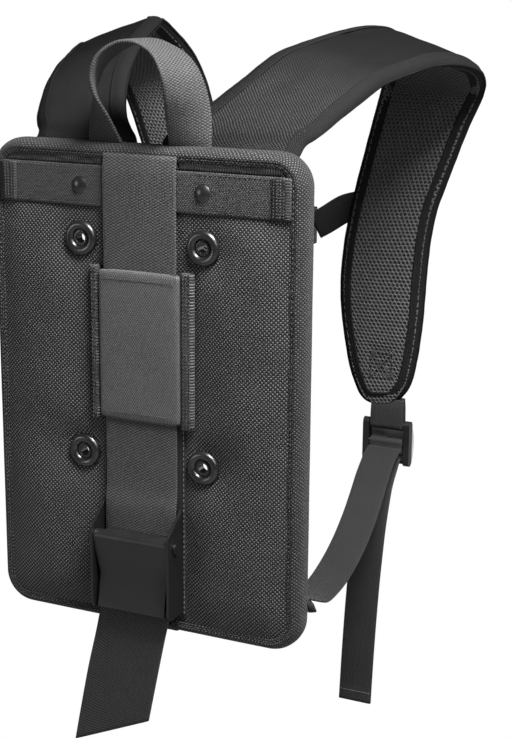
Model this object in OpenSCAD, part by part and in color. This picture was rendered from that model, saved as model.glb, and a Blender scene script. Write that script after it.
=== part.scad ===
// Back-carried harness of a breathing apparatus: a padded back plate with a strap and
// cam buckle for the cylinder, two padded shoulder straps, a sternum strap and a grab loop.
// X is to the right seen from the cylinder side, Y points to the wearer, Z is up.
// The origin is the centre of the four eyelets, on the front face of the stiffener plate.

/* [Back pad] */
// Width of the back pad over its binding
pad_w = 215; // [206:1:225]
// Height of the pad's top edge above the eyelet centre
pad_top = 127; // [126:0.5:127.5]
// Distance of the pad's bottom edge below the eyelet centre
pad_drop = 181; // [178:1:190]
// Corner radius of the pad
pad_r = 21; // [15:1:26]
// Thickness of the padded front cover
cover_t = 4; // [3:0.5:4]
// Thickness of the stiffener plate
plate_t = 2; // [1.5:0.5:3]
// Thickness of the foam core
foam_t = 9; // [6:0.5:9]
// Thickness of the rear mesh panel
mesh_t = 3; // [2:0.5:3]
// Width of the edge binding seen from the front
binding_w = 8; // [6:0.5:8]

/* [Eyelets] */
// Horizontal spacing of the eyelets
eyelet_dx = 84; // [80:1:100]
// Vertical spacing of the eyelets
eyelet_dz = 136; // [125:1:140]
// Radius of the hole through an eyelet
eyelet_hole_r = 3.2; // [2:0.1:3.5]
// Outside radius of an eyelet ring
eyelet_r = 11; // [9:0.5:11]

/* [Cylinder strap] */
// Width of the cylinder strap's webbing
strap_w = 50; // [40:1:50]
// Thickness of the cylinder strap's webbing
strap_t = 2; // [1.5:0.1:2]
// Width of the band that crosses the top of the pad
band_w = 25; // [20:1:25]
// Width of the sleeve that keeps the strap on the pad
sleeve_w = 74; // [70:1:78]
// Height of the sleeve
sleeve_h = 95; // [80:1:95]

/* [Cam buckle] */
// Width of the buckle between the outside faces of its cheeks
buckle_w = 56; // [55:0.5:58]
// Thickness of the buckle's sheet steel
steel_t = 1.6; // [1.2:0.1:1.6]
// Radius of the lever's pivot pin
pin_r = 2.5; // [2:0.1:2.5]

/* [Shoulder straps] */
// Thickness of a shoulder strap
shoulder_t = 10; // [8:0.5:10]
// Width of the adjusting webbing
web_w = 25; // [20:1:25]
// Thickness of the adjusting webbing
web_t = 1.5; // [1.2:0.1:1.6]

/* [Sternum strap] */
// Width of the sternum webbing
sternum_w = 20; // [18:1:20]
// Height of the sternum buckle's centre above the eyelet centre
sternum_z = 48; // [44:1:50]

/* [Hidden] */

$fn = 64;
gap = 0.3;           // between bodies that move past each other
fit = 0.05;          // radial running clearance of the pivot pin

// Depths of the pad's layers, front to back
front_y = -cover_t;
plate_y = plate_t;
foam_y = plate_t + foam_t;
back_y = plate_t + foam_t + mesh_t;
lip_t = 1;           // thickness of the binding's lips
rim_t = 1.5;         // thickness of the binding round the pad's edge
pad_h = pad_top + pad_drop;
pad_cz = (pad_top - pad_drop) / 2;

// Webbing depths on the front of the pad
web_gap = 0.1;
band_t = 1.5;
band_z = 100.5;
strap_y = front_y - band_t - web_gap;            // rear face of the strap
snap_x = eyelet_dx / 2;
snap_r = 5.5;

// Cam buckle
anchor_t = 1.4;
anchor_x = [-27, 30];
anchor_z = [-168, -46];
plate_front_y = front_y - anchor_t - steel_t;    // front face of the buckle's base
buckle_strap_y = plate_front_y - 0.4;            // rear face of the strap in the buckle
buckle_top = -97;
buckle_bottom = -165;
cheek_front = -24;
pin_y = -16;
pin_z = -119;
cam_r = 6.4;
lever_w = buckle_w - 2 * steel_t - 2 * gap;
strap_end_z = -158;                              // the strap meets its tail here

// Outer face of the right shoulder strap: neck edge, then shoulder edge, from the seam
// at the pad over the shoulder and down the chest
neck_edge = [
    [10, 6, 129.5], [16, 9, 136], [23, 16, 143], [32, 30, 154], [42, 52, 168],
    [50.5, 76, 181], [60, 100, 188], [73, 136, 195], [83, 160, 196], [85, 184, 189],
    [79, 206, 175], [71, 219, 158], [66, 222, 140], [62, 222, 124], [57, 222, 104],
    [52, 222, 84], [47, 222, 62], [43, 222, 38], [41, 222, 12], [42, 222, -10],
    [45, 222, -30], [49, 222, -50], [54, 222, -64], [59, 222, -73], [67, 222, -77.5]
];
shoulder_edge = [
    [92, 27, 128], [96, 31, 132], [101, 38, 138], [106, 49, 146], [113, 66, 156],
    [119, 86, 165], [126, 108, 170], [136, 136, 175], [147, 160, 175], [154, 184, 171],
    [150, 205, 163], [143, 218, 152], [138, 222, 140], [132, 222, 126], [125, 222, 107],
    [118, 222, 87], [111, 222, 66], [107, 222, 42], [105, 222, 14], [104, 222, -8],
    [102, 222, -30], [99, 222, -50], [96, 222, -61], [91, 222, -69.5], [84, 222, -75.5]
];
// The strap is thin where it is sewn to the pad
shoulder_swell = [for (i = [0:len(neck_edge) - 1]) min(1, 0.2 + 0.27 * i)];
cover_skin = 1.2;
liner_skin = 2;
binding_t = 2;

// Grab loop: front edge and rear edge of the right half, from the foot to the crown
loop_t = 2.5;
loop_front = [
    [17, -1, 129.5], [20, -9, 142], [24, -17.5, 155], [25, -21, 165], [23.5, -22, 172],
    [20, -21.5, 179], [14.5, -20.5, 184], [7, -20, 187.5], [0, -20, 188.5]
];
loop_rear = [
    [42, 6, 129.5], [41.5, 8, 144], [39, 8.5, 157], [35.5, 8.5, 167], [31, 9, 174],
    [25, 10, 179.5], [17, 10, 184], [8, 10, 187.5], [0, 10, 188.5]
];

// Adjusting webbing on the right: centre line as [x, y, z], width along X
adjust_x = 80;
lock_y = 216.5;
lock_z = [-92, -106, -119];                      // loop bar, strap bar, lower bar
lock_w = 36;
bar_r = 2.2;
rail_w = 4.5;
lower_route = [
    [80, 211, -109], [82, 193, -112], [84.5, 170, -119], [87.5, 150, -128.5],
    [90.5, 128, -138], [93.5, 104, -147], [96, 80, -153.5], [98.5, 54, -157.5],
    [100, 34, -158.5], [100.5, 19, -158]
];
tail_route = [
    [80, 205, -124], [80, 197, -132], [80, 190, -143], [79.5, 183, -160],
    [79, 178, -178], [78, 174, -200], [77, 170, -228], [76, 167, -258], [75, 165.5, -290]
];
tail_left_end = [75.8, 166.7, -264];             // the left tail is pulled up further

// Tail of the cylinder strap
tail_pivot = [-15, -165];
tail_end = [[11, -236], [-44, -262]];            // right and left corners of its slanted end

// Sternum buckle
sternum_y = 224;
sternum_t = 11;
socket_x = -26;
plug_x = 16;

function unit(v) = v / norm(v);
function along(c, i) = unit(c[min(i + 1, len(c) - 1)] - c[max(i - 1, 0)]);
function mids(a, b) = [for (i = [0:len(a) - 1]) (a[i] + b[i]) / 2];
function normals(a, b) =
    let (m = mids(a, b)) [for (i = [0:len(a) - 1]) unit(cross(b[i] - a[i], along(m, i)))];
function reversed(v) = [for (i = [len(v) - 1:-1:0]) v[i]];
function mirror_x(v) = [for (p = v) [-p[0], p[1], p[2]]];
function shifted(v, d) = [for (p = v) p + d];
function ones(v) = [for (p = v) 1];

// Skin over rings of four points, closed at both ends. Opposite sides are split along the
// same diagonal, so that ribbons stacked on each other meet face to face
module ring_sweep(rings) {
    n = len(rings);
    polyhedron(
        points = [for (r = rings) each r],
        faces = concat(
            [for (i = [0:n - 2], k = [0:3])
                let (p = 4 * i + k, q = 4 * i + (k + 1) % 4)
                each k < 2 ? [[p, q + 4, p + 4], [p, q, q + 4]]
                    : [[p, q, p + 4], [p + 4, q, q + 4]]],
            [[0, 2, 1], [0, 3, 2]],
            [[4 * n - 4, 4 * n - 3, 4 * n - 2], [4 * n - 4, 4 * n - 2, 4 * n - 1]]
        )
    );
}

// Flat ribbon between two edges, from depth lo to depth hi along its outward normal
module ribbon(a, b, lo, hi, swell) {
    n = normals(a, b);
    ring_sweep([for (i = [0:len(a) - 1]) [
        a[i] + lo * swell[i] * n[i], b[i] + lo * swell[i] * n[i],
        b[i] + hi * swell[i] * n[i], a[i] + hi * swell[i] * n[i]
    ]]);
}

// Webbing of width w that follows a centre line, with its width along X
module web(route, w, t) {
    ribbon(shifted(route, [-w / 2, 0, 0]), shifted(route, [w / 2, 0, 0]),
        -t / 2, t / 2, ones(route));
}

// Right-hand piece, or its mirror image for the left
module side(s) {
    if (s < 0) mirror([1, 0, 0]) children();
    else children();
}

// Outline in X and Z given depth y0 to y1
module slab(y0, y1) {
    translate([0, y1, 0]) rotate([90, 0, 0]) linear_extrude(y1 - y0) children();
}

// Outline in Y and Z drawn out from x0 to x1
module drawn_x(x0, x1) {
    translate([x0, 0, 0]) rotate([90, 0, 90]) linear_extrude(x1 - x0) children();
}

// Round bar along X between x0 and x1
module bar_x(r, y, z, x0, x1) {
    translate([x0, y, z]) rotate([0, 90, 0]) cylinder(r = r, h = x1 - x0);
}

module box(x, y, z) {
    translate([x[0], y[0], z[0]]) cube([x[1] - x[0], y[1] - y[0], z[1] - z[0]]);
}

module rounded(w, h, r) {
    square([w - 2 * r, h], center = true);
    square([w, h - 2 * r], center = true);
    for (sx = [-1, 1], sz = [-1, 1])
        translate([sx * (w / 2 - r), sz * (h / 2 - r)]) circle(r);
}

// Pad outline pulled in by d
module pad_layer(y0, y1, d) {
    translate([0, 0, pad_cz]) slab(y0, y1) rounded(pad_w - 2 * d, pad_h - 2 * d, pad_r - d);
}

// One child at each eyelet
module at_eyelets() {
    for (sx = [-1, 1], sz = [-1, 1])
        translate([sx * eyelet_dx / 2, 0, sz * eyelet_dz / 2]) children();
}

// Round hole or disc along Y
module disc_y(r, y0, y1) {
    translate([0, y1, 0]) rotate([90, 0, 0]) cylinder(r = r, h = y1 - y0);
}

// ---- back pad ----

barrel_r = 4.5;
eyelet_rim_r = 5;    // inside radius of an eyelet's rolled rim
eyelet_rim_h = 3.2;
recess_h = 0.6;
collar_h = 1.4;
foam_hole_r = 10;
panel_hole_r = 11;

module front_cover() {
    color("#26272a") difference() {
        pad_layer(front_y, 0, rim_t);
        at_eyelets() disc_y(barrel_r + 0.1, front_y - 1, 1);
    }
}

module stiffener_plate() {
    color("#1b1b1c") difference() {
        pad_layer(0, plate_y, rim_t + 2);
        at_eyelets() disc_y(barrel_r + 0.1, -1, plate_y + 1);
    }
}

module foam_core() {
    color("#3a3a3c") difference() {
        pad_layer(plate_y, foam_y, rim_t);
        at_eyelets() disc_y(foam_hole_r, plate_y - 1, foam_y + 1);
    }
}

module rear_mesh_panel() {
    color("#2c2d30") difference() {
        pad_layer(foam_y, back_y, rim_t);
        at_eyelets() disc_y(panel_hole_r, foam_y - 1, back_y + 1);
    }
}

module edge_binding() {
    color("#202123") difference() {
        pad_layer(front_y - lip_t, back_y + lip_t, 0);
        pad_layer(front_y, back_y, rim_t);
        pad_layer(front_y - 2 * lip_t, back_y + 2 * lip_t, binding_w);
    }
}

module top_band() {
    color("#222325")
        box([-98, 98], [front_y - band_t, front_y], [band_z - band_w / 2, band_z + band_w / 2]);
}

// Ring with a rolled rim, a recess and an inner collar; its barrel goes through the plate
module eyelet() {
    rim = (eyelet_r - eyelet_rim_r) / 2;
    rotate([90, 0, 0]) rotate_extrude() {
        translate([eyelet_rim_r + rim, cover_t]) intersection() {
            scale([1, eyelet_rim_h / rim]) circle(rim);
            translate([-rim, 0]) square([2 * rim, eyelet_rim_h]);
        }
        translate([eyelet_hole_r, cover_t]) square([eyelet_rim_r + rim - eyelet_hole_r, recess_h]);
        translate([eyelet_hole_r, cover_t]) square([barrel_r + 0.1 - eyelet_hole_r, collar_h]);
        translate([eyelet_hole_r, -plate_y]) square([barrel_r - eyelet_hole_r, plate_y + cover_t]);
    }
}

module eyelet_rings() { color("#151516") at_eyelets() eyelet(); }

module eyelet_washers() {
    color("#151516") at_eyelets() difference() {
        disc_y(9, plate_y, plate_y + 1.2);
        disc_y(barrel_r + 0.1, plate_y - 1, plate_y + 2);
    }
}

module snap_caps() {
    dome_r = 8;
    dome_h = 2.2;
    color("#141415") for (sx = [-1, 1]) translate([sx * snap_x, front_y - band_t, band_z])
        intersection() {
            disc_y(snap_r, -dome_h, 0);
            translate([0, dome_r - dome_h, 0]) sphere(dome_r);
        }
}

// ---- cylinder strap and buckle ----

module cylinder_strap() {
    rear = [
        [front_y - web_gap, 118.5], [strap_y, 113], [strap_y, -86],
        [buckle_strap_y, -97], [buckle_strap_y, strap_end_z]
    ];
    color("#26272a") drawn_x(-strap_w / 2, strap_w / 2)
        polygon(concat(rear, reversed([for (p = rear) p - [strap_t, 0]])));
}

module strap_sleeve() {
    in_w = strap_w / 2 + 1;
    t = 1.5;
    top = strap_y - strap_t - gap - t;
    color("#303135") translate([0, 0, 4 - sleeve_h / 2]) linear_extrude(sleeve_h) polygon([
        [-sleeve_w / 2, front_y], [-sleeve_w / 2, front_y - t], [-in_w - t, front_y - t],
        [-in_w - t, top], [in_w + t, top], [in_w + t, front_y - t],
        [sleeve_w / 2, front_y - t], [sleeve_w / 2, front_y], [in_w, front_y],
        [in_w, top + t], [-in_w, top + t], [-in_w, front_y]
    ]);
}

module anchor_web() { color("#1f2022") box(anchor_x, [front_y - anchor_t, front_y], anchor_z); }

module cheek_profile() {
    corner = 4;
    polygon([
        [plate_front_y + steel_t, buckle_top], [plate_front_y, buckle_top],
        [cheek_front + corner, buckle_top - 11], [cheek_front, buckle_top - 11 - corner],
        [cheek_front, buckle_bottom + 3], [cheek_front + 3, buckle_bottom],
        [plate_front_y + steel_t, buckle_bottom]
    ]);
    translate([cheek_front + corner, buckle_top - 11 - corner]) circle(corner);
}

module buckle_frame() {
    half = buckle_w / 2;
    color("#121213") difference() {
        union() {
            box([-half, half], [plate_front_y, plate_front_y + steel_t], [buckle_bottom, buckle_top]);
            drawn_x(-half, -half + steel_t) cheek_profile();
            drawn_x(half - steel_t, half) cheek_profile();
        }
        bar_x(pin_r + 0.02, pin_y, pin_z, -half - 1, half + 1);
    }
}

module buckle_pin() {
    half = buckle_w / 2;
    color("#1a1a1b") {
        bar_x(pin_r, pin_y, pin_z, -half - 1.5, half + 1.5);
        bar_x(pin_r + 1, pin_y, pin_z, -half - 1.5, -half - 0.2);
        bar_x(pin_r + 1, pin_y, pin_z, half + 0.2, half + 1.5);
    }
}

spring_x = [-25.8, -20.2];
wire_r = 0.7;

module buckle_spring() {
    turns = 4;
    pitch = (spring_x[1] - spring_x[0]) / turns;
    color("#4a4b4d") for (i = [0:turns - 1])
        translate([spring_x[0] + pitch * (i + 0.5), pin_y, pin_z]) rotate([0, 90, 0])
            rotate_extrude() translate([pin_r + wire_r + 0.3, 0]) circle(wire_r, $fn = 24);
}

module cam_lever() {
    roll_r = 4.5;
    roll = [pin_y - 2.6, pin_z + 1.2];
    t = 2;
    bend = [-18.8, -142];
    tab = [-22.8, -163.5];
    color("#141415") difference() {
        intersection() {
            union() {
                bar_x(cam_r, pin_y, pin_z, spring_x[1] + gap, lever_w / 2);
                bar_x(roll_r, roll[0], roll[1], -lever_w / 2, lever_w / 2);
                drawn_x(-lever_w / 2, lever_w / 2) polygon([
                    [roll[0] - roll_r, roll[1]], bend, tab, tab + [t, -0.4],
                    bend + [t, 0], [roll[0] - 0.5, roll[1] - roll_r]
                ]);
            }
            // The lever narrows towards its thumb tab
            slab(-40, 0) polygon([
                [-lever_w / 2, pin_z + 20], [lever_w / 2, pin_z + 20], [lever_w / 2, pin_z - 6],
                [lever_w / 2 - 2.5, bend[1]], [lever_w / 2 - 2.5, -175],
                [2.5 - lever_w / 2, -175], [2.5 - lever_w / 2, bend[1]], [-lever_w / 2, pin_z - 6]
            ]);
        }
        bar_x(pin_r + fit, pin_y, pin_z, -30, 30);
        bar_x(pin_r + 2 * wire_r + 0.6, pin_y, pin_z, -30, spring_x[1] + gap);
    }
}

// Tail below the buckle, leaning a little to the left, with a slanted end
module strap_tail() {
    top = tail_pivot[1] - gap;
    color("#26272a") slab(tail_pivot[0] - strap_t / 2, tail_pivot[0] + strap_t / 2)
        polygon(concat([[-strap_w / 2, top], [strap_w / 2, top]], tail_end));
}

module grab_handle() {
    a = concat(loop_front, reversed([for (i = [0:len(loop_front) - 2]) mirror_x(loop_front)[i]]));
    b = concat(loop_rear, reversed([for (i = [0:len(loop_rear) - 2]) mirror_x(loop_rear)[i]]));
    color("#242528") ribbon(b, a, 0, loop_t, ones(a));
}

// ---- shoulder straps ----

module shoulder_layer(lo, hi) { ribbon(neck_edge, shoulder_edge, lo, hi, shoulder_swell); }

module shoulder_cover(s) { color("#2a2b2e") side(s) shoulder_layer(-cover_skin, 0); }

module shoulder_foam(s) {
    color("#3a3a3c") side(s) shoulder_layer(liner_skin - shoulder_t, -cover_skin);
}

module shoulder_liner(s) {
    color("#242527") side(s) shoulder_layer(-shoulder_t, liner_skin - shoulder_t);
}

// Binding round both edges and the lower end of a strap
module shoulder_binding(s) {
    last = len(neck_edge) - 1;
    n = normals(neck_edge, shoulder_edge);
    down = along(mids(neck_edge, shoulder_edge), last);
    across = [for (i = [0:last]) unit(shoulder_edge[i] - neck_edge[i])];
    out_neck = [for (i = [0:last]) i == last ? unit(down - across[i]) : -across[i]];
    out_shoulder = [for (i = [0:last]) i == last ? unit(down + across[i]) : across[i]];
    path = concat(neck_edge, reversed(shoulder_edge));
    out = concat(out_neck, reversed(out_shoulder));
    face = concat(n, reversed(n));
    swell = concat(shoulder_swell, reversed(shoulder_swell));
    color("#17181a") side(s) ring_sweep([for (i = [0:len(path) - 1])
        let (inner = path[i] + gap * out[i], outer = path[i] + binding_t * out[i],
            depth = shoulder_t * swell[i] * face[i])
        [inner, outer, outer - depth, inner - depth]
    ]);
}

module adjuster_loop(s) {
    x = [adjust_x - web_w / 2, adjust_x + web_w / 2];
    inner = bar_r + 0.4;
    outer = inner + web_t;
    color("#242528") side(s) difference() {
        union() {
            bar_x(outer, lock_y, lock_z[0], x[0], x[1]);
            box(x, [lock_y - outer, lock_y + outer], [lock_z[0], -80.2]);
        }
        bar_x(inner, lock_y, lock_z[0], x[0] - 1, x[1] + 1);
        box([x[0] - 1, x[1] + 1], [lock_y - inner, lock_y + inner], [lock_z[0], -84]);
    }
}

module adjuster_frame(s) {
    x0 = adjust_x - lock_w / 2;
    x1 = adjust_x + lock_w / 2;
    color("#131314") side(s) {
        for (z = lock_z) bar_x(bar_r, lock_y, z, x0 + 1, x1 - 1);
        for (x = [x0, x1 - rail_w]) drawn_x(x, x + rail_w) {
            translate([lock_y - 3.5, lock_z[2]]) square([7, lock_z[0] - lock_z[2]]);
            translate([lock_y, lock_z[0]]) circle(3.5);
            translate([lock_y, lock_z[2]]) circle(3.5);
        }
    }
}

module bar_wrap(s) {
    color("#242528") side(s) difference() {
        bar_x(bar_r + 0.1 + web_t, lock_y, lock_z[1], adjust_x - web_w / 2, adjust_x + web_w / 2);
        bar_x(bar_r + 0.1, lock_y, lock_z[1], adjust_x - lock_w, adjust_x + lock_w);
    }
}

// Curved plate over the outer side of the adjuster, clear of the loop when it tilts
cover_z = [lock_z[2] - 3, lock_z[0] - 1];
cover_y = lock_y + 4.6;
cover_mid = (cover_z[0] + cover_z[1]) / 2;
rivet_r = 4;

module adjuster_cover(s) {
    arc_r = 26;
    rise = 4.4;
    t = 2.2;
    x0 = adjust_x - lock_w / 2 + 0.5;
    x1 = adjust_x + lock_w / 2 - 0.5;
    color("#a9abad") side(s) {
        difference() {
            intersection() {
                bar_x(arc_r, cover_y + rise - arc_r, cover_mid, x0, x1);
                box([x0, x1], [cover_y, cover_y + 12], cover_z);
            }
            bar_x(arc_r - t, cover_y + rise - arc_r, cover_mid, x0 + rail_w, x1 - rail_w);
            translate([adjust_x, 0, cover_mid]) disc_y(rivet_r + 0.1, cover_y - 1, cover_y + 12);
        }
        // Feet that stand on the frame's side rails
        for (x = [x0, x1 - 3])
            box([x, x + 3], [lock_y + 3.5, cover_y], [cover_z[0] + 4, cover_mid + 4]);
    }
}

module adjuster_rivet(s) {
    head = 5.5;
    color("#101011") side(s) translate([adjust_x, cover_y + 1.5, cover_mid]) {
        disc_y(rivet_r, 0, 3);
        intersection() {
            disc_y(rivet_r, 2.5, head);
            translate([0, head - 6, 0]) sphere(6);
        }
    }
}

module lower_web(s) { color("#2a2b2e") side(s) web(lower_route, web_w, web_t); }

module adjuster_tail(s) {
    last = len(tail_route) - 1;
    color("#2a2b2e") side(s)
        web([for (i = [0:last]) s < 0 && i == last ? tail_left_end : tail_route[i]], web_w, web_t);
}

module corner_tab(s) {
    color("#242528") side(s)
        box([84, 112], [back_y + lip_t + 0.2, back_y + lip_t + 2.2], [-168, -144]);
}

// ---- sternum strap ----

module sternum_web(s) {
    half = sternum_w / 2;
    // Centre line in X and Z: from the buckle, out to the strap's edge and across it
    p = [[s > 0 ? plug_x + 0.4 : 0.4 - socket_x, sternum_z], [46, 61], [82, 64]];
    color("#1c1d1f") side(s) slab(sternum_y - web_t / 2, sternum_y + web_t / 2) polygon([
        p[0] - [0, half], p[1] - [-3, half], p[2] - [0, half],
        p[2] + [0, half], p[1] + [-3, half], p[0] + [0, half]
    ]);
}

module sternum_socket() {
    half = 14;
    color("#161617") translate([0, sternum_y, sternum_z]) difference() {
        box([socket_x, 0], [-sternum_t / 2, sternum_t / 2], [-half, half]);
        box([-19, 1], [-3.7, 3.7], [-11, 11]);
        box([-16, -6], [-3.7, 3.7], [-half - 1, half + 1]);
        box([-24.4, -21.4], [-sternum_t, sternum_t], [-10.5, 10.5]);
    }
}

module sternum_plug() {
    half = 13.5;
    color("#161617") translate([0, sternum_y, sternum_z]) {
        difference() {
            box([gap, plug_x], [-5, 5], [-half, half]);
            box([4, 7], [-6, 6], [-10.5, 10.5]);
            box([10, 13], [-6, 6], [-10.5, 10.5]);
        }
        box([-17, gap], [-2.6, 2.6], [-2.6, 2.6]);
    }
}

// Sprung arm of the plug, with its hook in the socket's window
module latch(s) {
    color("#1d1d1e") translate([0, sternum_y, sternum_z]) slab(-2.6, 2.6) polygon([
        [0, 5.2 * s], [0, 9.6 * s], [-6.6, 9.6 * s], [-6.6, 12.6 * s],
        [-9, 13 * s], [-15, 9.8 * s], [-17.5, 6.5 * s], [-17.5, 5.2 * s]
    ]);
}

module latch_upper() { latch(1); }
module latch_lower() { latch(-1); }

front_cover();
stiffener_plate();
foam_core();
rear_mesh_panel();
edge_binding();
top_band();
eyelet_rings();
eyelet_washers();
snap_caps();
cylinder_strap();
strap_sleeve();
anchor_web();
buckle_frame();
buckle_pin();
buckle_spring();
corner_tab(1);  // corner_tab_right
corner_tab(-1);  // corner_tab_left
cam_lever();
strap_tail();
grab_handle();
shoulder_cover(1);  // shoulder_cover_right
shoulder_cover(-1);  // shoulder_cover_left
shoulder_foam(1);  // shoulder_foam_right
shoulder_foam(-1);  // shoulder_foam_left
shoulder_liner(1);  // shoulder_liner_right
shoulder_liner(-1);  // shoulder_liner_left
shoulder_binding(1);  // shoulder_binding_right
shoulder_binding(-1);  // shoulder_binding_left
adjuster_loop(1);  // adjuster_loop_right
adjuster_loop(-1);  // adjuster_loop_left
lower_web(1);  // lower_web_right
lower_web(-1);  // lower_web_left
adjuster_frame(1);  // adjuster_frame_right
adjuster_frame(-1);  // adjuster_frame_left
bar_wrap(1);  // bar_wrap_right
bar_wrap(-1);  // bar_wrap_left
adjuster_cover(1);  // adjuster_cover_right
adjuster_cover(-1);  // adjuster_cover_left
adjuster_rivet(1);  // adjuster_rivet_right
adjuster_rivet(-1);  // adjuster_rivet_left
adjuster_tail(1);  // adjuster_tail_right
adjuster_tail(-1);  // adjuster_tail_left
sternum_web(1);  // sternum_web_right
sternum_web(-1);  // sternum_web_left
sternum_socket();
sternum_plug();
latch_upper();
latch_lower();
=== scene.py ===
# Looks of a back-carried harness of a breathing apparatus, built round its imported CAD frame.
# Lengths in this script are millimetres in the CAD frame until mesh_object() makes them metres.
import math

import bmesh
import bpy
import numpy as np
from mathutils import Matrix, Vector


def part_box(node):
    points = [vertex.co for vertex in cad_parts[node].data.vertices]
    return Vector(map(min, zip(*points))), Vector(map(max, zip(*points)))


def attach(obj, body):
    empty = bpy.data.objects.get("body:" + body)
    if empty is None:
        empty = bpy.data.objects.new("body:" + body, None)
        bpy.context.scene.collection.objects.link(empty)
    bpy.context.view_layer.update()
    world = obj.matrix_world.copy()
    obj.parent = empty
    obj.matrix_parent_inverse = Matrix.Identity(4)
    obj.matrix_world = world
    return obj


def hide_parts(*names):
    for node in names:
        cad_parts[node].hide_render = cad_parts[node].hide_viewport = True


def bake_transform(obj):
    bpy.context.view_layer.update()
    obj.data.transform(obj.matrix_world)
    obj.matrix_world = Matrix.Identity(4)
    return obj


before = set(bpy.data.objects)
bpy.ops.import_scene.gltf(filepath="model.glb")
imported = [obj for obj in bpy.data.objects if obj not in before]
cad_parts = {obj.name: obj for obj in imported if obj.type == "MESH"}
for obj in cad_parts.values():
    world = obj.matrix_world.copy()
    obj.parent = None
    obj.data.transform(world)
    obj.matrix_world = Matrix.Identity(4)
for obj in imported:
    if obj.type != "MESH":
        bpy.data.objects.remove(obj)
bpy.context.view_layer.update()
MM = 0.001
SIDES = (("right", 1), ("left", -1))


def link(thing):
    bpy.context.scene.collection.objects.link(thing)


def assign(thing, **settings):
    """Sets several of a thing's values and gives the thing back."""
    for setting, value in settings.items():
        setattr(thing, setting, value)
    return thing


# ---- camera ----
AZIMUTH, ELEVATION, ROLL = (math.radians(a) for a in (25.17, 14.20, 0.46))
TARGET = Vector((0.075, 0, -0.0026))
DISTANCE = 0.9195

toward = Vector((math.sin(AZIMUTH) * math.cos(ELEVATION),
                 -math.cos(AZIMUTH) * math.cos(ELEVATION), math.sin(ELEVATION)))
level = (-toward).cross(Vector((0, 0, 1))).normalized()
above = level.cross(-toward)
cam_x = level * math.cos(ROLL) + above * math.sin(ROLL)
cam_y = above * math.cos(ROLL) - level * math.sin(ROLL)
camera = bpy.data.objects.new("camera", bpy.data.cameras.new("camera"))
camera.data.lens = 75.35
camera.matrix_world = Matrix.Translation(TARGET + toward * DISTANCE) @ Matrix(
    (cam_x, cam_y, toward)).transposed().to_4x4()
link(camera)
bpy.context.scene.camera = camera
bpy.context.scene.view_settings.view_transform = "Standard"


# ---- materials ----
class Finish:
    """A material and a short way to write its nodes."""

    def __init__(self, name, **shader):
        self.material = bpy.data.materials.new(name)
        self.material.use_nodes = True
        self.tree = self.material.node_tree
        self.shader = self.tree.nodes["Principled BSDF"]
        for socket, value in shader.items():
            self.shader.inputs[socket.replace("_", " ")].default_value = value

    def node(self, kind, **settings):
        return assign(self.tree.nodes.new(kind), **settings)

    def feed(self, socket, value):
        if isinstance(value, bpy.types.NodeSocket):
            self.tree.links.new(value, socket)
        else:
            socket.default_value = value

    def math(self, operation, *values):
        made = self.node("ShaderNodeMath", operation=operation)
        for socket, value in zip(made.inputs, values):
            self.feed(socket, value)
        return made.outputs[0]

    def plus(self, a, b):
        return self.math("ADD", a, b)

    def times(self, a, b):
        return self.math("MULTIPLY", a, b)

    def span(self, value, low, high, to_low=0.0, to_high=1.0):
        """value from low..high to to_low..to_high, with soft ends."""
        made = self.node("ShaderNodeMapRange", interpolation_type="SMOOTHSTEP")
        for socket, given in zip(made.inputs, (value, low, high, to_low, to_high)):
            self.feed(socket, given)
        return made.outputs[0]

    def cloth(self):
        """Across and along the cloth, in millimetres."""
        made = self.node("ShaderNodeSeparateXYZ")
        self.feed(made.inputs[0], self.node("ShaderNodeTexCoord").outputs["UV"])
        return made.outputs[0], made.outputs[1]

    def place(self):
        """The point on the piece, in metres."""
        return self.node("ShaderNodeTexCoord").outputs["Object"]

    def join(self, x, y, z=0.0):
        made = self.node("ShaderNodeCombineXYZ")
        for socket, value in zip(made.inputs, (x, y, z)):
            self.feed(socket, value)
        return made.outputs[0]

    def noise(self, vector, scale, detail=2.0):
        made = self.node("ShaderNodeTexNoise")
        self.feed(made.inputs["Vector"], vector)
        made.inputs["Scale"].default_value = scale
        made.inputs["Detail"].default_value = detail
        return made.outputs["Fac"]

    def mix(self, share, a, b):
        made = self.node("ShaderNodeMix", data_type="RGBA")
        self.feed(made.inputs["Factor"], share)
        for socket, colour in ((made.inputs["A"], a), (made.inputs["B"], b)):
            self.feed(socket, colour if isinstance(colour, bpy.types.NodeSocket) else (*colour, 1))
        return made.outputs["Result"]

    def colour(self, value):
        self.feed(self.shader.inputs["Base Color"], value)

    def rough(self, value):
        self.feed(self.shader.inputs["Roughness"], value)

    def bump(self, height, depth_mm):
        made = self.node("ShaderNodeBump")
        made.inputs["Strength"].default_value = 1.0
        made.inputs["Distance"].default_value = depth_mm * MM
        self.feed(made.inputs["Height"], height)
        self.feed(self.shader.inputs["Normal"], made.outputs[0])


def grey(level):
    return (level, level, level)


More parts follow.
